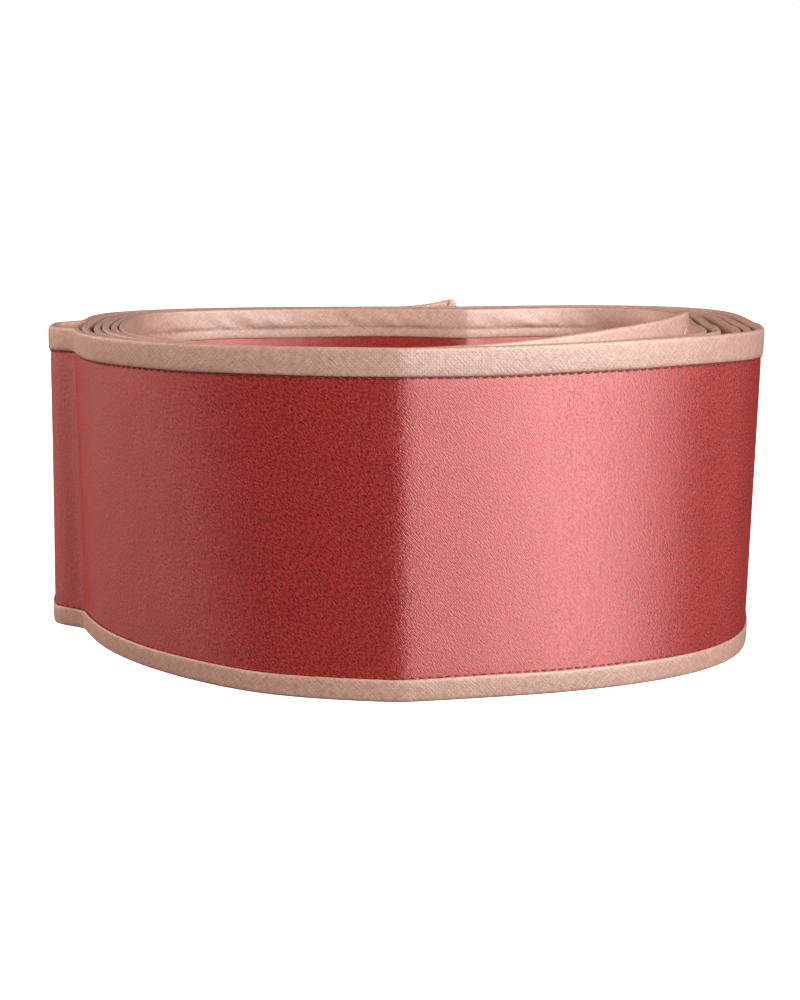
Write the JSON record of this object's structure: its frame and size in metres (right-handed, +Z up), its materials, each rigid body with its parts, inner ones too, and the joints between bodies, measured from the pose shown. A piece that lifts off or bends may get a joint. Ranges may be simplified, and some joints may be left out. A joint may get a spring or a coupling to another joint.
{
  "type": "satin sash",
  "caption": "Wide satin waist sash with bias-bound edges, wound into a loose oval coil that stands on its long edge.",
  "frame": {"origin": "under the middle of the coil's box, on the surface that it stands on", "axes": "+Z up along the sash's width, +X to the right along the coil's longer side, +Y away from the viewer"},
  "size_m": [0.1956, 0.175, 0.0855],
  "materials": {
    "satin": "lustrous satin, rose coral, fine diagonal twill",
    "binding": "plain weave cut on the bias, pale peach"
  },
  "bodies": {
    "root": {"satin_turn_1": "satin", "binding_top_turn_1": "binding", "binding_bottom_turn_1": "binding", "satin_turn_2": "satin", "binding_top_turn_2": "binding", "binding_bottom_turn_2": "binding", "satin_turn_3": "satin", "binding_top_turn_3": "binding", "binding_bottom_turn_3": "binding", "satin_turn_4": "satin", "binding_top_turn_4": "binding", "binding_bottom_turn_4": "binding", "satin_turn_5": "satin", "binding_top_turn_5": "binding", "binding_bottom_turn_5": "binding", "satin_turn_6": "satin", "binding_top_turn_6": "binding", "binding_bottom_turn_6": "binding", "binding_end_outer": "binding", "binding_end_inner": "binding"}
  },
  "joints": []
}
